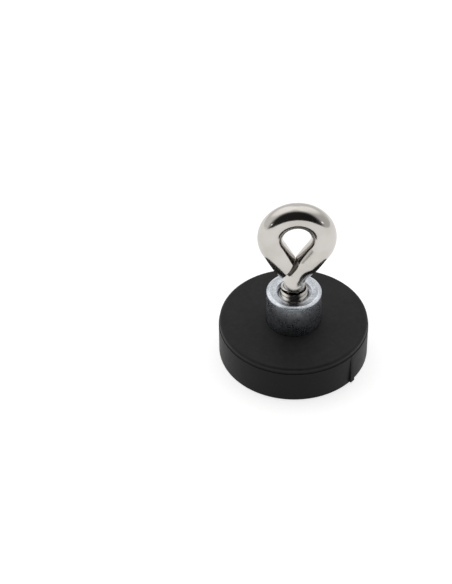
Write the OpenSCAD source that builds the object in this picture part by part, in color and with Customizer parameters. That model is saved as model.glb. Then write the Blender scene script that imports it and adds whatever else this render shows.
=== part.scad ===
// Small rubber-coated retrieving magnet: a ring of disc magnets on a steel back plate,
// moulded into a rubber jacket, with a threaded bush and a screw-in bent-wire eye.
// Origin: centre of the holding face. +Z points up through the bush and the eye.

/* [Rubber jacket] */
// Diameter of the jacket over its lower band
jacket_d = 22; // [20:0.5:32]
// Height of the jacket, from holding face to top face
jacket_h = 6.2; // [5.5:0.1:9]
// Rubber under the magnets, the skin that meets the work
face_skin = 0.7; // [0.4:0.1:0.9]
// Rubber outside the rim of the back plate
side_wall = 1.25; // [0.8:0.05:1.3]
// Depth of the moulding ledge below the top face
ledge_drop = 0.95; // [0.6:0.05:2]
// Step in at the ledge, from the lower band to the upper one
ledge_step = 0.1; // [0.02:0.02:0.3]
// Rounding of the top edge
top_round = 0.45; // [0.1:0.05:0.5]
// Rounding of the edge of the holding face
face_round = 0.35; // [0.1:0.05:0.8]

/* [Moulding gate mark] */
// Width of the wedge that the gate leaves on the lower band
gate_w = 0.8; // [0.4:0.1:1.5]
// How far the wedge stands out at its foot
gate_proud = 0.35; // [0.1:0.05:0.6]
// Bearing of the wedge round the jacket, from +X towards +Y
gate_angle = -42; // [-180:1:180]

/* [Back plate and magnets] */
// Thickness of the steel back plate
plate_t = 1.8; // [1:0.1:2]
// Diameter of each disc magnet
magnet_d = 5; // [3:0.25:5.25]
// Thickness of each disc magnet
magnet_t = 2; // [1:0.1:2.2]
// Steel left outside the ring of magnets
magnet_inset = 0.75; // [0.3:0.05:0.8]

/* [Threaded bush] */
// Diameter of the bush
bush_d = 8; // [7.5:0.5:12]
// Height of the bush above the jacket
bush_rise = 5.4; // [3:0.1:12]
// Chamfer round the top of the bush
bush_chamfer = 0.4; // [0.1:0.05:0.6]
// Nominal diameter of the thread
thread_d = 4; // [3.5:0.5:5]
// Width of the countersink round the mouth of the bore
csink_w = 0.6; // [0.2:0.05:0.6]
// Metal left between the bore and the underside of the back plate
bore_floor = 1.8; // [1:0.1:2.4]
// Diameter of the spigot that is riveted into the back plate
spigot_d = 5; // [4:0.25:6.5]
// Width of the flare that holds the riveted end
rivet_flare = 0.5; // [0.2:0.05:0.8]

/* [Eye screw] */
// Diameter of the bent wire
wire_d = 3.7; // [3.4:0.1:4.5]
// Diameter of the round part of the eye's opening
eye_hole_d = 3.9; // [3.5:0.1:12]
// Lean of the long arm that runs down into the shank
long_arm_lean = 34.6; // [25:0.1:45]
// Lean of the short arm that ends free
short_arm_lean = 30; // [20:0.5:45]
// Sideways shift of the eye's centre from the thread's axis
eye_shift = 0.3; // [0:0.05:1.5]
// Lean of the neck and eye, backwards from the thread's axis
lean_back = 3.5; // [0:0.5:6]
// Gap between the cut end of the wire and the long arm, which the cut is parallel to
end_gap = 0.1; // [0.05:0.05:0.5]
// Radius of the bend between long arm and shank, at the wire's middle
bend_r = 2.5; // [2.2:0.1:5]
// Diameter of the plain neck above the thread, and of the bend
neck_d = 3.1; // [2.5:0.1:3.3]
// Length of the neck between thread and bend
neck_l = 0.6; // [0.2:0.05:4]
// Length over which the long arm narrows down to the neck's diameter
taper_l = 2.8; // [0.6:0.1:2.8]
// Thread left showing above the bush
thread_show = 1.1; // [0.5:0.1:6]
// Room below the tip of the screw
tip_gap = 0.7; // [0.3:0.1:2]
// Gap all round between screw and bore
thread_clear = 0.05; // [0.02:0.01:0.1]

/* [Hidden] */
$fn = 72;
magnet_count = 6;
magnet_names = [for (i = [1:magnet_count]) str("magnet_", i)];

// Heights of the layers above the holding face
plate_z = face_skin + magnet_t;
plate_top = plate_z + plate_t;
bush_top = jacket_h + bush_rise;
bore_z = plate_z + bore_floor;

// Widths that follow from the jacket
plate_d = jacket_d - 2 * side_wall;
ring_r = plate_d / 2 - magnet_inset - magnet_d / 2;

// The screw inside the bush
screw_d = thread_d - 2 * thread_clear;
screw_tip = bore_z + tip_gap;
tip_chamfer = (screw_d - neck_d) / 2;
thread_top = bush_top + thread_show;

// Straight stretches are a hair thinner than the bends and end just inside them
lap = 0.05;
lap_slack = 0.005;
neck_root = 0.3;

// The eye, drawn flat: x across, y up, both from the origin
eye_r = (eye_hole_d + wire_d) / 2;
bend_y = thread_top + neck_l;
bend_reach = bend_r * tan(long_arm_lean / 2);
long_arm_run = (eye_shift + eye_r * cos(long_arm_lean)) / sin(long_arm_lean);
long_arm_l = long_arm_run - bend_reach;
eye_y = bend_y + bend_reach + long_arm_run * cos(long_arm_lean) + eye_r * sin(long_arm_lean);
arms_angle = long_arm_lean + short_arm_lean;
end_cut = eye_hole_d / 2 - end_gap;
short_arm_l = (end_cut + (eye_r + wire_d / 2) * cos(arms_angle)) / sin(arms_angle) + lap;
eye_sweep = 180 + arms_angle;

// Half of a round disc's section, with its outer corner at y = 0 rounded
module rounded_half(r, h, corner) {
    square([r - corner, h]);
    translate([0, corner]) square([r, h - corner]);
    translate([r - corner, corner]) circle(r = corner);
}

// A length of wire bent round the origin of the flat drawing
module bent_wire(d, r, start, sweep)
    rotate([0, 0, start]) rotate_extrude(angle = sweep) translate([r, 0]) circle(d = d);

// A straight length of wire that leaves the point [r, 0] of a bend towards -y, from just inside it.
// It is drawn as one turned shape, which narrows to end_d over its last stretch of length taper
module straight_wire(r, l, end_d = wire_d, taper = 0)
    translate([r, lap]) rotate([90, 0, 0]) rotate_extrude()
        polygon([
            [0, 0],
            [wire_d / 2 - lap_slack, 0],
            [wire_d / 2 - lap_slack, l + lap - taper],
            [end_d / 2 - lap_slack, l + lap],
            [0, l + lap]
        ]);

// A disc magnet at its place in the ring
module magnet(i)
    rotate([0, 0, i * 360 / magnet_count]) translate([ring_r, 0, face_skin])
        cylinder(d = magnet_d, h = magnet_t);

// The wedge that the moulding gate leaves, widest at its foot
module gate_mark()
    rotate([0, 0, gate_angle]) translate([0, gate_w / 2, 0]) rotate([90, 0, 0])
        linear_extrude(gate_w)
            polygon([
                [jacket_d / 2 - side_wall / 2, face_round],
                [jacket_d / 2 + gate_proud, face_round],
                [jacket_d / 2, jacket_h - ledge_drop],
                [jacket_d / 2 - side_wall / 2, jacket_h - ledge_drop]
            ]);

// Moulded round the plate and magnets, so its hollow has exactly their shape
module rubber_jacket()
    color("#2b2b2d") difference() {
        union() {
            rotate_extrude() rounded_half(jacket_d / 2, jacket_h - ledge_drop, face_round);
            translate([0, 0, jacket_h]) mirror([0, 0, 1])
                rotate_extrude() rounded_half(jacket_d / 2 - ledge_step, ledge_drop, top_round);
            gate_mark();
        }
        translate([0, 0, plate_z]) cylinder(d = plate_d, h = plate_t);
        translate([0, 0, plate_z]) cylinder(d = bush_d, h = bush_top);
        for (i = [1:magnet_count]) magnet(i);
    }

module back_plate()
    color("#9a9c9e") difference() {
        translate([0, 0, plate_z]) cylinder(d = plate_d, h = plate_t);
        spigot();
    }

// The riveted end, flush with the underside of the back plate
module spigot() {
    translate([0, 0, plate_z]) cylinder(d = spigot_d, h = plate_t);
    translate([0, 0, plate_z])
        cylinder(d1 = spigot_d + 2 * rivet_flare, d2 = spigot_d, h = rivet_flare);
}

module threaded_bush()
    color("#b9bdc0") difference() {
        union() {
            spigot();
            translate([0, 0, plate_top]) cylinder(d = bush_d, h = bush_top - bush_chamfer - plate_top);
            translate([0, 0, bush_top - bush_chamfer])
                cylinder(d1 = bush_d, d2 = bush_d - 2 * bush_chamfer, h = bush_chamfer);
        }
        translate([0, 0, bore_z]) cylinder(d = thread_d, h = bush_top);
        translate([0, 0, bush_top - csink_w])
            cylinder(d1 = thread_d, d2 = thread_d + 4 * csink_w, h = 2 * csink_w);
    }

module eye_screw()
    color("#c4c1bd") {
        // Thread, as a plain cylinder at its crests, with a chamfered tip
        translate([0, 0, screw_tip]) cylinder(d1 = neck_d, d2 = screw_d, h = tip_chamfer);
        translate([0, 0, screw_tip + tip_chamfer])
            cylinder(d = screw_d, h = thread_top - tip_chamfer - screw_tip);
        // Neck and eye, leaned back where the thread ends
        translate([0, 0, thread_top]) rotate([-lean_back, 0, 0]) translate([0, 0, -thread_top]) {
            translate([0, 0, thread_top - neck_root])
                cylinder(d = neck_d - 2 * lap_slack, h = neck_root + neck_l + lap);
            rotate([90, 0, 0]) bent_eye();
        }
    }

// Bend, long arm, eye and short arm in the flat drawing
module bent_eye() {
    translate([bend_r, bend_y]) bent_wire(neck_d, bend_r, 180 - long_arm_lean, long_arm_lean);
    translate([eye_shift, eye_y]) {
        bent_wire(wire_d, eye_r, -long_arm_lean, eye_sweep);
        rotate([0, 0, -long_arm_lean]) straight_wire(eye_r, long_arm_l + lap, neck_d, taper_l);
        difference() {
            rotate([0, 0, 180 + short_arm_lean]) mirror([0, 1]) straight_wire(eye_r, short_arm_l);
            rotate([0, 0, -long_arm_lean]) translate([end_cut, -4 * eye_r, -wire_d])
                cube([2 * eye_r, 4 * eye_r, 2 * wire_d]);
        }
    }
}

rubber_jacket();
back_plate();
threaded_bush();
eye_screw();
for (i = [1:magnet_count])
    color("#a9adb2") magnet(i);
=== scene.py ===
import math

import bmesh
import bpy
from mathutils import Matrix, Vector


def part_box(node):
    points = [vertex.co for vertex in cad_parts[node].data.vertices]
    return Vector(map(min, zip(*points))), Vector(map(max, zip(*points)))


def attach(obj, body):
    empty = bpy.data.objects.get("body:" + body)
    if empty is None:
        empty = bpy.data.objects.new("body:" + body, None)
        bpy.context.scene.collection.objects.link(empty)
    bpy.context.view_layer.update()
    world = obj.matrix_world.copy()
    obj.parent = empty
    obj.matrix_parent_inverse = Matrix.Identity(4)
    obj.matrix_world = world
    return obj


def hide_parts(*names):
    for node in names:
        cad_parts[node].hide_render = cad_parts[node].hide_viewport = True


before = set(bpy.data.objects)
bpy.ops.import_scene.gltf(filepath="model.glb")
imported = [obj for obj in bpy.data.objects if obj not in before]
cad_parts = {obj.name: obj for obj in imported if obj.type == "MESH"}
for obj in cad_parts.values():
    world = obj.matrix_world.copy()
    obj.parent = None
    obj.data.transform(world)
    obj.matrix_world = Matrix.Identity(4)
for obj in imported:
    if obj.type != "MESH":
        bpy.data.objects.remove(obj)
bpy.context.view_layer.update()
mm = 0.001


# ---------- shader maths ----------

class Link:
    # wraps a node socket, so that node sums read as plain sums
    def __init__(self, tree, socket=None):
        self.tree = tree
        self.socket = socket

    def make(self, kind, settings=None, inputs=None, out=0):
        node = self.tree.nodes.new("ShaderNode" + kind)
        for name, value in (settings or {}).items():
            if name == "stops":
                ramp = node.color_ramp
                while len(ramp.elements) < len(value):
                    ramp.elements.new(0.5)
                for element, (place, colour) in zip(ramp.elements, value):
                    element.position = place
                    element.color = (*colour, 1)
            else:
                setattr(node, name, value)
        for name, value in (inputs or {}).items():
            self.feed(node.inputs[name], value)
        return Link(self.tree, node.outputs[out])

    def feed(self, slot, value):
        if isinstance(value, Link):
            self.tree.links.new(value.socket, slot)
        else:
            slot.default_value = value

    def math(self, operation, *others):
        values = dict(enumerate((self, *others)))
        return self.make("Math", {"operation": operation}, values)

    def __add__(self, other):
        return self.math("ADD", other)

    def __sub__(self, other):
        return self.math("SUBTRACT", other)

    def __rsub__(self, other):
        return self.math("MULTIPLY", -1.0) + other

    def __mul__(self, other):
        return self.math("MULTIPLY", other)

    def __pow__(self, other):
        return self.math("POWER", other)

    __radd__ = __add__
    __rmul__ = __mul__

    def span(self, low, high, newLow=0.0, newHigh=1.0):
        # smooth step from low to high
        sizes = {"From Min": low, "From Max": high, "To Min": newLow, "To Max": newHigh}
        return self.make("MapRange", {"interpolation_type": "SMOOTHSTEP"}, {"Value": self, **sizes})

    def noise(self, scale, detail=3.0, roughness=0.5, stretch=None):
        where = self
        if stretch:
            where = self.make("Mapping", None, {"Vector": self, "Scale": stretch})
        sizes = {"Vector": where, "Scale": scale, "Detail": detail, "Roughness": roughness}
        return self.make("TexNoise", None, sizes)

    def blend(self, first, second):
        # self is the share of the second colour
        colours = {0: self, 6: (*first, 1) if isinstance(first, tuple) else first,
                   7: (*second, 1) if isinstance(second, tuple) else second}
        return self.make("Mix", {"data_type": "RGBA"}, colours, out=2)

    def parts(self):
        x = self.make("SeparateXYZ", None, {0: self})
        node = x.socket.node
        return [Link(self.tree, node.outputs[i]) for i in range(3)]


def newMaterial(name, constants):
    material = bpy.data.materials.new(name)
    material.use_nodes = True
    shader = material.node_tree.nodes["Principled BSDF"]
    for socket, value in constants.items():
        shader.inputs[socket].default_value = value
    start = Link(material.node_tree)
    place = start.make("TexCoord", out=3)
    return material, shader, place


def bumpInto(shader, height, depth, strength=1.0, under=None):
    # depth is the real height of the relief, in metres
    inputs = {"Height": height, "Distance": depth, "Strength": strength}
    if under:
        inputs["Normal"] = under
    bump = height.make("Bump", None, inputs)
    height.feed(shader.inputs["Normal"], bump)
    return bump


# ---------- modelling helpers ----------

def freshStart():
    if bpy.context.object and bpy.context.object.mode == "EDIT":
        bpy.ops.object.mode_set(mode="OBJECT")
    bpy.ops.object.select_all(action="DESELECT")


def startPiece(name, addPrimitive, **sizes):
    # a primitive at its place, its transform put into the mesh, open in edit mode
    freshStart()
    addPrimitive(**sizes)
    piece = bpy.context.object
    piece.name = piece.data.name = name
    bpy.ops.object.transform_apply(location=True, rotation=True, scale=True)
    bpy.ops.object.mode_set(mode="EDIT")
    return piece


def pick(piece, kind, test):
    # selects the verts, edges or faces that pass the test
    bpy.ops.mesh.select_mode(type={"verts": "VERT", "edges": "EDGE", "faces": "FACE"}[kind])
    bpy.ops.mesh.select_all(action="DESELECT")
    editMesh = bmesh.from_edit_mesh(piece.data)
    getattr(editMesh, kind).ensure_lookup_table()
    for item in getattr(editMesh, kind):
        if test(item):
            item.select_set(True)
    editMesh.select_flush_mode()
    bmesh.update_edit_mesh(piece.data)


def radiusOf(point):
    return math.hypot(point.x, point.y)


def isNear(value, target, slack=0.004 * mm):
    return abs(value - target) < slack


def pickRim(piece, *rims):
    # selects the round edges at each (radius, height)
    def onRim(edge):
        return any(all(isNear(radiusOf(v.co), r) and isNear(v.co.z, z) for v in edge.verts)
                   for r, z in rims)
    pick(piece, "edges", onRim)


def pullThrough(radius, height, path):
    # draws the selected round end through each (radius, height), as on a lathe
    for newRadius, newHeight in path:
        move = {"value": (0, 0, newHeight - height)}
        bpy.ops.mesh.extrude_region_move(TRANSFORM_OT_translate=move)
        scale = newRadius / radius
        bpy.ops.transform.resize(value=(scale, scale, 1), center_override=(0, 0, newHeight))
        radius, height = newRadius, newHeight


def bevelRims(piece, offset, segments, *rims):
    pickRim(piece, *rims)
    bpy.ops.mesh.bevel(offset=offset, segments=segments, affect="EDGES")


def closeEdit():
    bpy.ops.mesh.select_all(action="SELECT")
    bpy.ops.mesh.normals_make_consistent(inside=False)
    bpy.ops.object.mode_set(mode="OBJECT")


def useModifier(piece, kind, **settings):
    freshStart()
    bpy.context.view_layer.objects.active = piece
    piece.select_set(True)
    modifier = piece.modifiers.new(kind.lower(), kind)
    for name, value in settings.items():
        setattr(modifier, name, value)
    bpy.ops.object.modifier_apply(modifier=modifier.name)


def combine(piece, tool, operation):
    useModifier(piece, "BOOLEAN", object=tool, operation=operation, solver="EXACT")
    bpy.data.objects.remove(tool)


def smoothPiece(piece, angle, weighted=True):
    freshStart()
    bpy.context.view_layer.objects.active = piece
    piece.select_set(True)
    bpy.ops.object.shade_smooth_by_angle(angle=math.radians(angle))
    if weighted:
        useModifier(piece, "WEIGHTED_NORMAL", keep_sharp=True)


def finishPiece(piece, node, body, slot, *materials):
    piece.data.materials.clear()
    for material in materials:
        piece.data.materials.append(material)
    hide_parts(node)
    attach(piece, body)
    print(piece.name, "is done,", len(piece.data.polygons), "faces")


def halfWidth(node):
    low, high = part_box(node)
    return (high.y - low.y) / 2


# ---------- rubber jacket ----------

jacketLook = {
    # the near-black colour painted on the side walls as their shade
    "side": (0.002, 0.002, 0.0021),
    "deep": (0.017, 0.017, 0.0171),
    # lighter rubber tone, for random patches and for the painted highlight at the ledge and rim
    "wornAndHighlight": (0.026, 0.026, 0.0262),
    "dust": (0.045, 0.044, 0.042),
    "roughness": 0.42,
    "specular": 0.13,
}
jacketSize = {
    "ledgeDrop": 0.95 * mm,
    "ledgeStep": 0.1 * mm,
    "topRound": 0.45 * mm,
    "faceRound": 0.35 * mm,
    "lipRound": 0.12 * mm,
    "gateWidth": 0.8 * mm,
    "gateProud": 0.35 * mm,
    "gateBearing": -42,
    "sides": 192,
}


def makeJacketRubber():
    look = jacketLook
    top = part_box("rubber_jacket")[1].z
    material, shader, place = newMaterial("mouldedRubber", {
        "Specular IOR Level": look["specular"],
        "IOR": 1.48,
    })
    x, y, z = place.parts()
    cloudy = place.noise(420, 4, 0.6)
    patches = place.noise(1500, 3, 0.55)
    grain = place.noise(9000, 4, 0.65)
    specks = place.noise(5200, 2, 0.4).span(0.68, 0.78)
    # painted highlight, partly edge wear: the ledge line and the band round the top rim are made lighter
    ledge = z.span(top - 1.3 * mm, top - 1.0 * mm) * (1 - z.span(top - 0.93 * mm, top - 0.8 * mm))
    rim = ((x * x + y * y) ** 0.5).span(9.9 * mm, 10.8 * mm) * z.span(top - 0.7 * mm, top - 0.1 * mm)
    wearAndHighlight = (ledge * 0.55 + rim * 0.5) * cloudy.span(0.35, 0.7)
    base = (cloudy * 0.5 + patches * 0.4).span(0.25, 0.7).blend(look["deep"], look["wornAndHighlight"])
    # painted shade: the side walls below the top face get a far darker colour than the top face
    paintedSideShade = 1 - z.span(top - 0.9 * mm, top - 0.3 * mm)
    base = (paintedSideShade * 0.85).blend(base, look["side"])
    base = (wearAndHighlight * 0.5).blend(base, look["wornAndHighlight"])
    base = (specks * 0.35).blend(base, look["dust"])
    place.feed(shader.inputs["Base Color"], base)
    place.feed(shader.inputs["Roughness"], look["roughness"] + cloudy * 0.12 + specks * 0.1 - wearAndHighlight * 0.12)
    waves = bumpInto(shader, patches, 0.02 * mm, 0.5)
    bumpInto(shader, grain, 0.012 * mm, 0.6, waves)
    return material


def makeRubberJacket():
    size = jacketSize
    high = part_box("rubber_jacket")[1].z
    plateLow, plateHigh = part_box("back_plate")
    radius = jacketRadius
    plateRadius = halfWidth("back_plate")
    bushRadius = halfWidth("threaded_bush")
    ledge = high - size["ledgeDrop"]
    upper = radius - size["ledgeStep"]
    piece = startPiece("rubberJacket", bpy.ops.mesh.primitive_cylinder_add,
                       vertices=size["sides"], radius=radius, depth=ledge, location=(0, 0, ledge / 2))
    pick(piece, "faces", lambda face: face.normal.z > 0.9)
    pullThrough(radius, ledge, [
        (upper, ledge),
        (upper, high),
        (bushRadius + 1.2 * mm, high),
        (bushRadius, high),
        (bushRadius, plateHigh.z),
        (plateRadius, plateHigh.z),
        (plateRadius, plateLow.z),
    ])
    bevelRims(piece, size["topRound"], 8, (upper, high))
    bevelRims(piece, size["faceRound"], 6, (radius, 0))
    bevelRims(piece, size["lipRound"], 3, (bushRadius, high))
    bevelRims(piece, 0.05 * mm, 3, (radius, ledge))
    bevelRims(piece, 0.04 * mm, 2, (upper, ledge))
    closeEdit()
    makeGateMark(piece, radius, ledge)
    for name in magnetNames:
        low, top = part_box(name)
        pocket = startPiece("pocket", bpy.ops.mesh.primitive_cylinder_add, vertices=64,
                            radius=halfWidth(name), depth=top.z - low.z + 0.2 * mm,
                            location=((low.x + top.x) / 2, (low.y + top.y) / 2, (low.z + top.z) / 2 + 0.1 * mm))
        closeEdit()
        combine(piece, pocket, "DIFFERENCE")
    smoothPiece(piece, 32)
    finishPiece(piece, "rubber_jacket", "magnet", "jacket_rubber", makeJacketRubber())


def makeGateMark(jacket, radius, ledge):
    # the wedge is widest and stands furthest out at its foot
    size = jacketSize
    low = size["faceRound"]
    inner = radius - 0.5 * mm
    deep = size["gateProud"] + 0.5 * mm
    mark = startPiece("gateMark", bpy.ops.mesh.primitive_cube_add, size=1,
                      location=(inner + deep / 2, 0, (low + ledge) / 2),
                      scale=(deep, size["gateWidth"], ledge - low))
    outer = radius + size["gateProud"]
    pick(mark, "verts", lambda v: v.co.z > (low + ledge) / 2 and v.co.x > inner + deep / 2)
    bpy.ops.transform.translate(value=(-size["gateProud"] * 0.97, 0, 0))
    pick(mark, "verts", lambda v: v.co.z > (low + ledge) / 2)
    bpy.ops.transform.resize(value=(1, 0.6, 1), center_override=(0, 0, ledge))
    pick(mark, "edges", lambda e: all(v.co.x > radius - 0.05 * mm for v in e.verts))
    bpy.ops.mesh.bevel(offset=0.06 * mm, segments=3, affect="EDGES")
    bpy.ops.mesh.select_all(action="SELECT")
    closeEdit()
    mark.data.transform(Matrix.Rotation(math.radians(size["gateBearing"]), 4, "Z"))
    combine(jacket, mark, "UNION")


# ---------- threaded bush ----------

bushLook = {
    "bright": (0.66, 0.69, 0.73),
    "dull": (0.42, 0.45, 0.49),
    "roughness": 0.15,
    "turning": 62000,
}
bushSize = {
    "rimWidth": 0.45 * mm,
    "rimHeight": 0.22 * mm,
    "boreRadius": 2.0 * mm,
    "sinkWidth": 0.6 * mm,
    "spigotRadius": 2.5 * mm,
    "flare": 0.5 * mm,
    "boreFloor": 1.8 * mm,
    "edgeBreak": 0.06 * mm,
    "grooveRadius": 3.3 * mm,
    "grooveDepth": 0.05 * mm,
    "sides": 128,
}


def makeBushZinc():
    look = bushLook
    material, shader, place = newMaterial("turnedZinc", {"Metallic": 1.0})
    x, y, z = place.parts()
    radius = (x * x + y * y) ** 0.5
    side = radius.span(3.85 * mm, 3.95 * mm)
    turned = ((radius + z) * look["turning"]).math("SINE")
    uneven = place.noise(700, 4, 0.6)
    crystals = place.noise(3800, 5, 0.7)
    pits = place.noise(6500, 3, 0.6).span(0.62, 0.74)
    base = (uneven * 0.4 + crystals * 0.6).span(0.38, 0.62).blend(look["dull"], look["bright"])
    base = (pits * 0.15).blend(base, (0.3, 0.31, 0.33))
    place.feed(shader.inputs["Base Color"], base)
    place.feed(shader.inputs["Roughness"], look["roughness"] + side * 0.08 + uneven * 0.1 + pits * 0.15)
    lines = bumpInto(shader, turned * uneven, 0.0022 * mm, 0.35)
    bumpInto(shader, crystals, 0.006 * mm, 0.4, lines)
    return material


def makeThreadedBush():
    size = bushSize
    low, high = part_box("threaded_bush")
    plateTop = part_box("back_plate")[1].z
    radius = halfWidth("threaded_bush")
    foot = size["spigotRadius"] + size["flare"]
    mouth = size["boreRadius"] + size["sinkWidth"]
    groove, wide = size["grooveRadius"], 2 * size["grooveDepth"]
    piece = startPiece("threadedBush", bpy.ops.mesh.primitive_cylinder_add, vertices=size["sides"],
                       radius=foot, depth=size["flare"], location=(0, 0, low.z + size["flare"] / 2))
    pick(piece, "faces", lambda face: face.normal.z > 0.9)
    bpy.ops.transform.resize(value=(size["spigotRadius"] / foot,) * 2 + (1,),
                             center_override=(0, 0, low.z + size["flare"]))
    pullThrough(size["spigotRadius"], low.z + size["flare"], [
        (size["spigotRadius"], plateTop),
        (radius, plateTop),
        (radius, high.z - size["rimHeight"]),
        (radius - size["rimWidth"], high.z),
        (groove + wide, high.z),
        (groove + wide / 2, high.z - size["grooveDepth"]),
        (groove - wide / 2, high.z - size["grooveDepth"]),
        (groove - wide, high.z),
        (mouth, high.z),
        (size["boreRadius"], high.z - size["sinkWidth"]),
        (size["boreRadius"], low.z + size["boreFloor"]),
    ])
    bevelRims(piece, size["edgeBreak"], 3, (radius, high.z - size["rimHeight"]),
              (radius - size["rimWidth"], high.z), (mouth, high.z),
              (size["boreRadius"], high.z - size["sinkWidth"]))
    closeEdit()
    smoothPiece(piece, 25)
    finishPiece(piece, "threaded_bush", "magnet", "zinc_plated_steel", makeBushZinc())


# ---------- eye screw ----------

eyeLook = {
    "bright": (0.58, 0.555, 0.525),
    "dull": (0.51, 0.485, 0.455),
    "roughness": 0.1,
    "bareSteel": (0.45, 0.44, 0.43),
}
eyeSize = {
    "wireRadius": 1.85 * mm,
    "longArmLean": math.radians(34.6),
    "shortArmLean": math.radians(30),
    "leanBack": math.radians(3.5),
    "bendRadius": 2.5 * mm,
    "neckRadius": 1.55 * mm,
    "taper": 2.8 * mm,
    "threadShow": 1.1 * mm,
    "endGap": 0.1 * mm,
    "endBreak": 0.12 * mm,
    "endBlunt": 0.65 * mm,
    "neckRoot": 0.3 * mm,
    "pitch": 0.7 * mm,
    "threadRadius": 1.95 * mm,
    "rootRadius": 1.6 * mm,
    "around": 64,
    "threadSteps": 72,
}


def makeEyeNickel():
    look = eyeLook
    material, shader, place = newMaterial("polishedNickel", {"Metallic": 1.0})
    cloudy = place.noise(260, 3, 0.5)
    orange = place.noise(900, 2, 0.5)
    fine = place.noise(7000, 4, 0.6)
    scuffs = place.noise(2600, 5, 0.7, stretch=(1, 1, 0.12)).span(0.6, 0.75)
    base = cloudy.span(0.3, 0.7).blend(look["dull"], look["bright"])
    base = (scuffs * 0.15).blend(base, look["dull"])
    place.feed(shader.inputs["Base Color"], base)
    place.feed(shader.inputs["Roughness"], look["roughness"] + cloudy * 0.06 + scuffs * 0.09)
    skin = bumpInto(shader, orange, 0.02 * mm, 0.25)
    bumpInto(shader, fine, 0.002 * mm, 0.3, skin)
    return material


def makeCutEnd():
    # the sawn end of the wire, plated over its saw marks
    material, shader, place = newMaterial("sawnEnd", {"Metallic": 1.0})
    marks = place.noise(5000, 3, 0.6, stretch=(0.15, 1, 1))
    base = marks.span(0.35, 0.65).blend(eyeLook["bareSteel"], eyeLook["dull"])
    place.feed(shader.inputs["Base Color"], base)
    place.feed(shader.inputs["Roughness"], 0.28 + marks * 0.2)
    bumpInto(shader, marks, 0.02 * mm, 0.6)
    return material


def eyeShape():
    # works the flat eye's centre line out from the CAD node's own box
    size = eyeSize
    low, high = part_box("eye_screw")
    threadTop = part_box("threaded_bush")[1].z + size["threadShow"]
    wire, back = size["wireRadius"], size["leanBack"]
    ring = (high.x - low.x) / 2 - wire
    shift = (high.x + low.x) / 2
    rise = (high.z - ring * math.cos(back) - wire - threadTop) / math.cos(back)
    centre = Vector((shift, 0, threadTop + rise))
    lean, lean2 = size["longArmLean"], size["shortArmLean"]
    run = (shift + ring * math.cos(lean)) / math.sin(lean)
    reach = size["bendRadius"] * math.tan(lean / 2)
    bendFoot = centre.z - ring * math.sin(lean) - run * math.cos(lean) - reach
    bothLeans = lean + lean2
    cut = ring - wire - size["endGap"]
    shortArm = (cut + (ring + wire) * math.cos(bothLeans)) / math.sin(bothLeans) + 0.1 * mm
    pivot = Vector((0, 0, threadTop))
    turn = Matrix.Translation(pivot) @ Matrix.Rotation(-back, 4, "X") @ Matrix.Translation(-pivot)
    return {"wire": wire, "ring": ring, "centre": centre, "longArm": run - reach, "cut": cut,
            "shortArm": shortArm, "bendFoot": bendFoot, "sweep": math.pi + bothLeans,
            "armSide": Vector((math.cos(lean), 0, -math.sin(lean))), "turn": turn,
            "tip": low.z, "threadTop": threadTop}


def makeEyeWire(shape):
    # one round section, drawn along the short arm, round the eye, down the long arm and into the neck
    size = eyeSize
    lean, lean2 = size["longArmLean"], size["shortArmLean"]
    wire, ring, centre, armSide = shape["wire"], shape["ring"], shape["centre"], shape["armSide"]
    down = Vector((math.sin(lean2), 0, -math.cos(lean2)))
    eyeStart = centre + ring * Vector((-math.cos(lean2), 0, -math.sin(lean2)))
    piece = startPiece("eyeScrew", bpy.ops.mesh.primitive_circle_add, vertices=size["around"],
                       radius=wire, fill_type="NOTHING", location=eyeStart + shape["shortArm"] * down,
                       rotation=down.to_track_quat("Z", "Y").to_euler())
    pick(piece, "edges", lambda edge: True)
    bpy.ops.mesh.extrude_region_move(TRANSFORM_OT_translate={"value": -shape["shortArm"] * down})
    bpy.ops.mesh.select_all(action="SELECT")
    bpy.ops.mesh.bisect(plane_co=centre + shape["cut"] * armSide, plane_no=armSide, clear_outer=True)
    pick(piece, "edges", lambda edge: all(isNear((v.co - eyeStart).dot(down), 0) for v in edge.verts))
    bpy.ops.mesh.spin(steps=96, angle=-shape["sweep"], center=centre, axis=(0, 1, 0))
    armWay = Vector((-math.sin(lean), 0, -math.cos(lean)))
    foot = centre + ring * armSide + shape["longArm"] * armWay
    plain = shape["longArm"] - size["taper"]
    bpy.ops.mesh.extrude_region_move(TRANSFORM_OT_translate={"value": plain * armWay})
    thin = size["neckRadius"] / wire
    taperSteps = 16
    before = 1.0
    for step in range(1, taperSteps + 1):
        share = step / taperSteps
        now = 1 + (thin - 1) * share * share * (3 - 2 * share)
        bpy.ops.mesh.extrude_region_move(
            TRANSFORM_OT_translate={"value": armWay * size["taper"] / taperSteps})
        at = foot - armWay * size["taper"] * (1 - share)
        bpy.ops.transform.resize(value=(now / before,) * 3, center_override=at)
        before = now
    bendCentre = Vector((size["bendRadius"], 0, shape["bendFoot"]))
    bpy.ops.mesh.spin(steps=16, angle=lean, center=bendCentre, axis=(0, 1, 0))
    neck = shape["bendFoot"] - shape["threadTop"] + size["neckRoot"]
    bpy.ops.mesh.extrude_region_move(TRANSFORM_OT_translate={"value": (0, 0, -neck)})
    bpy.ops.mesh.select_all(action="SELECT")
    bpy.ops.mesh.remove_doubles(threshold=0.001 * mm)
    bpy.ops.mesh.select_mode(type="EDGE")
    bpy.ops.mesh.select_all(action="DESELECT")
    bpy.ops.mesh.select_non_manifold()
    bpy.ops.mesh.edge_face_add()
    closeEdit()
    tip = (ring + wire) * (eyeStart - centre).normalized() + (shape["shortArm"] - 0.1 * mm) * down
    past = tip.dot(armWay) - size["endBlunt"]
    cutter = startPiece("bluntCutter", bpy.ops.mesh.primitive_cube_add, size=3 * mm, rotation=(0, lean, 0),
                        scale=(1, 2, 1), location=centre + armSide * (shape["cut"] - 1.45 * mm)
                        + armWay * (past + 1.5 * mm))
    closeEdit()
    combine(piece, cutter, "DIFFERENCE")
    piece.data.transform(shape["turn"])
    return piece


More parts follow.
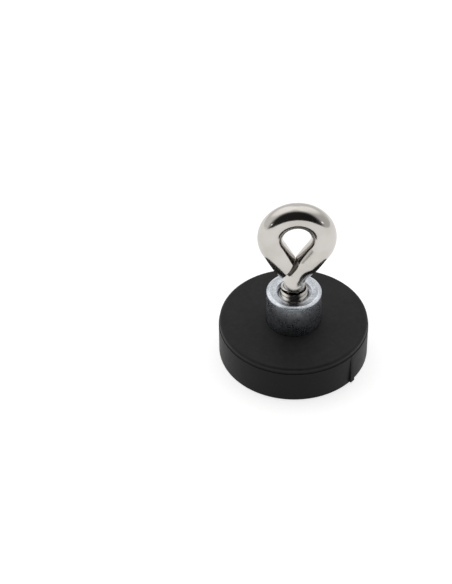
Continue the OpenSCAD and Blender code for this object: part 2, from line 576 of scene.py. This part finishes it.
def makeThread(shape):
    # one pitch of the thread's outline is swept up the screw and merged turn to turn
    size = eyeSize
    pitch, crest, root = size["pitch"], size["threadRadius"], size["rootRadius"]
    outline = [(0, root), (0.09, root), (0.42, crest - 0.03 * mm), (0.46, crest), (0.58, crest),
               (0.62, crest - 0.03 * mm), (0.95, root), (1, root)]
    low = shape["tip"] - pitch
    turns = int((shape["threadTop"] - low) / pitch) + 2
    thread = startPiece("thread", bpy.ops.mesh.primitive_circle_add, vertices=3, radius=1 * mm)
    bpy.ops.mesh.delete(type="VERT")
    closeEdit()
    points = [Vector((r, 0, low + share * pitch)) for share, r in outline]
    thread.data.from_pydata(points, [(i, i + 1) for i in range(len(points) - 1)], [])
    useModifier(thread, "SCREW", axis="Z", angle=math.tau, screw_offset=pitch, iterations=turns,
                steps=size["threadSteps"], render_steps=size["threadSteps"], use_merge_vertices=True,
                merge_threshold=0.002 * mm)
    bpy.ops.object.mode_set(mode="EDIT")
    bpy.ops.mesh.select_all(action="SELECT")
    bpy.ops.mesh.remove_doubles(threshold=0.002 * mm)
    for cut, keepAbove in ((shape["tip"] - 0.3 * mm, True), (shape["threadTop"] + 0.3 * mm, False)):
        bpy.ops.mesh.select_all(action="SELECT")
        bpy.ops.mesh.bisect(plane_co=(0, 0, cut), plane_no=(0, 0, 1), use_fill=True,
                            clear_inner=keepAbove, clear_outer=not keepAbove)
    closeEdit()
    return thread


def makeThreadEnvelope(shape):
    # what the thread is turned down to: pointed tip, run-out under the neck
    size = eyeSize
    radius = size["threadRadius"] + 0.004 * mm
    low, high = shape["tip"], shape["threadTop"]
    body = startPiece("envelope", bpy.ops.mesh.primitive_cylinder_add, vertices=96,
                      radius=size["neckRadius"], depth=0.4 * mm, location=(0, 0, low + 0.2 * mm))
    pick(body, "faces", lambda face: face.normal.z > 0.9)
    bpy.ops.transform.resize(value=(radius / size["neckRadius"],) * 2 + (1,),
                             center_override=(0, 0, low + 0.4 * mm))
    pullThrough(radius, low + 0.4 * mm, [(radius, high - 0.45 * mm), (size["neckRadius"] - 0.02 * mm, high)])
    closeEdit()
    return body


def makeEyeScrew():
    size = eyeSize
    shape = eyeShape()
    piece = makeEyeWire(shape)
    thread = makeThread(shape)
    combine(thread, makeThreadEnvelope(shape), "INTERSECT")
    combine(piece, thread, "UNION")
    armSide = shape["armSide"]
    endWays = [shape["turn"].to_3x3() @ way for way in (armSide, Vector((armSide.z, 0, -armSide.x)))]

    def isEnd(normal, centre, slack):
        facing = max(normal.dot(way) for way in endWays)
        return facing > 1 - slack and centre.z > shape["threadTop"] + 1 * mm

    freshStart()
    bpy.context.view_layer.objects.active = piece
    bpy.ops.object.mode_set(mode="EDIT")
    pick(piece, "edges", lambda edge: any(
        isEnd(f.normal, f.calc_center_median(), 0.001) and f.calc_area() > 0.5 * mm * mm
        for f in edge.link_faces))
    bpy.ops.mesh.bevel(offset=size["endBreak"], segments=4, affect="EDGES")
    bpy.ops.object.mode_set(mode="OBJECT")
    smoothPiece(piece, 38, weighted=False)
    finishPiece(piece, "eye_screw", "eye", "nickel_plated_steel", makeEyeNickel(), makeCutEnd())
    for face in piece.data.polygons:
        flat = isEnd(face.normal, face.center, 0.005) and face.area > 0.5 * mm * mm
        face.material_index = 1 if flat else 0


# ---------- hidden steel and magnets ----------

def makePlateSteel():
    material, shader, place = newMaterial("stampedSteel", {"Metallic": 1.0})
    rolled = place.noise(1500, 4, 0.6, stretch=(0.1, 1, 1))
    stain = place.noise(300, 4, 0.6)
    base = (rolled * 0.6 + stain * 0.4).span(0.3, 0.7).blend((0.25, 0.25, 0.26), (0.46, 0.46, 0.47))
    place.feed(shader.inputs["Base Color"], base)
    place.feed(shader.inputs["Roughness"], 0.3 + stain * 0.25)
    bumpInto(shader, rolled, 0.01 * mm, 0.5)
    return material


def makeMagnetNickel():
    material, shader, place = newMaterial("magnetNickel", {"Metallic": 1.0})
    cloudy = place.noise(500, 3, 0.5)
    fine = place.noise(5000, 3, 0.6)
    base = cloudy.span(0.3, 0.7).blend((0.52, 0.51, 0.49), (0.66, 0.64, 0.61))
    place.feed(shader.inputs["Base Color"], base)
    place.feed(shader.inputs["Roughness"], 0.16 + cloudy * 0.1)
    bumpInto(shader, fine, 0.006 * mm, 0.4)
    return material


def coatHiddenNodes():
    steel, nickel = makePlateSteel(), makeMagnetNickel()
    for name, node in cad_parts.items():
        if name == "back_plate" or name in magnetNames:
            node.data.materials.clear()
            node.data.materials.append(steel if name == "back_plate" else nickel)
    print("plate and magnets are coated")


# ---------- camera, floor and light ----------

camera = {
    "elevation": math.radians(42.3),
    "roll": math.radians(-0.88),
    "distance": 260 * mm,
    "aim": Vector((-9.86, 0, 11.44)) * mm,
    "lens": 110.65,
}
studio = {
    "tent": 0.85,
    "panel": 0.5,
    "panels": ((-130, 50), (128, 58)),
    "panelWidth": (36, 18),
    "dark": 0.975,
    "front": (-6, 24),
    "frontWidth": (66, 44),
    "shade": 0.3,
    "side": (66, 20),
    "sideWidth": (62, 20),
    "foot": (-13, 2),
    "floor": 0.5,
    "floorGlow": 0.74,
    "lampPower": 0.02,
    "lamps": ((-55, 14), (58, 16)),
}


def makeCamera():
    data = bpy.data.cameras.new("camera")
    data.lens = camera["lens"]
    data.sensor_width = 36
    data.clip_start, data.clip_end = 0.01, 20
    view = bpy.data.objects.new("camera", data)
    bpy.context.scene.collection.objects.link(view)
    tilt, roll = camera["elevation"], camera["roll"]
    back = Vector((0, -math.cos(tilt), math.sin(tilt)))
    right, up = Vector((1, 0, 0)), Vector((0, math.sin(tilt), math.cos(tilt)))
    across = math.cos(roll) * right + math.sin(roll) * up
    upward = math.cos(roll) * up - math.sin(roll) * right
    turn = Matrix((across, upward, back)).transposed()
    view.matrix_world = Matrix.Translation(camera["aim"] + camera["distance"] * back) @ turn.to_4x4()
    bpy.context.scene.camera = view


def wayTo(bearing, rise):
    # unit vector towards a bearing from the front and a height, both in degrees
    bearing, rise = math.radians(bearing), math.radians(rise)
    return Vector((math.sin(bearing) * math.cos(rise), -math.cos(bearing) * math.cos(rise), math.sin(rise)))


def makeTent():
    # a white tent with two brighter panels behind, open and dark at the front
    world = bpy.data.worlds.new("tent")
    bpy.context.scene.world = world
    world.use_nodes = True
    world.node_tree.nodes.clear()
    start = Link(world.node_tree)
    way = start.make("TexCoord", out=0)
    z = way.parts()[2]

    def cap(centre, width):
        # 1 inside the second angle from the centre, fading to 0 at the first
        towards = way.make("VectorMath", {"operation": "DOT_PRODUCT"}, {0: way, 1: wayTo(*centre)}, out=1)
        return towards.span(*(math.cos(math.radians(angle)) for angle in width))

    light = studio["tent"]
    for panel in studio["panels"]:
        light = cap(panel, studio["panelWidth"]) * studio["panel"] + light
    aboveFoot = z.span(*(math.sin(math.radians(angle)) for angle in studio["foot"]))
    light = light * (1 - cap(studio["front"], studio["frontWidth"]) * aboveFoot * studio["dark"])
    light = light * (1 - cap(studio["side"], studio["sideWidth"]) * aboveFoot * studio["shade"])
    seen = start.make("LightPath")
    plain = seen * 1.0 + (1 - seen) * light
    glow = start.make("Background", None, {"Color": (1.0, 0.997, 0.99, 1), "Strength": plain})
    end = world.node_tree.nodes.new("ShaderNodeOutputWorld")
    start.feed(end.inputs["Surface"], glow)


def makeFloor():
    freshStart()
    bpy.ops.mesh.primitive_plane_add(size=3, location=(0, 0, 0))
    floor = bpy.context.object
    floor.name = "floor"
    material, shader, place = newMaterial("whiteAcrylic", {
        "Base Color": (studio["floor"],) * 3 + (1,), "Roughness": 0.9, "Specular IOR Level": 0.1,
        "Emission Color": (1, 1, 1, 1), "Emission Strength": studio["floorGlow"]})
    floor.data.materials.append(material)


def makeLamps():
    for place in studio["lamps"]:
        way = wayTo(*place)
        data = bpy.data.lights.new("lamp", "AREA")
        data.shape, data.size = "DISK", 0.05
        data.energy = studio["lampPower"]
        lamp = bpy.data.objects.new("lamp", data)
        lamp.location = way * 0.6
        lamp.rotation_euler = way.to_track_quat("Z", "Y").to_euler()
        bpy.context.scene.collection.objects.link(lamp)


jacketRadius = -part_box("rubber_jacket")[0].x
magnetNames = sorted(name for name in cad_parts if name.startswith("magnet_"))

makeCamera()
makeTent()
makeFloor()
makeLamps()
bpy.context.scene.view_settings.view_transform = "Standard"
print("studio is set")

makeRubberJacket()
makeThreadedBush()
makeEyeScrew()
coatHiddenNodes()

bpy.context.view_layer.update()
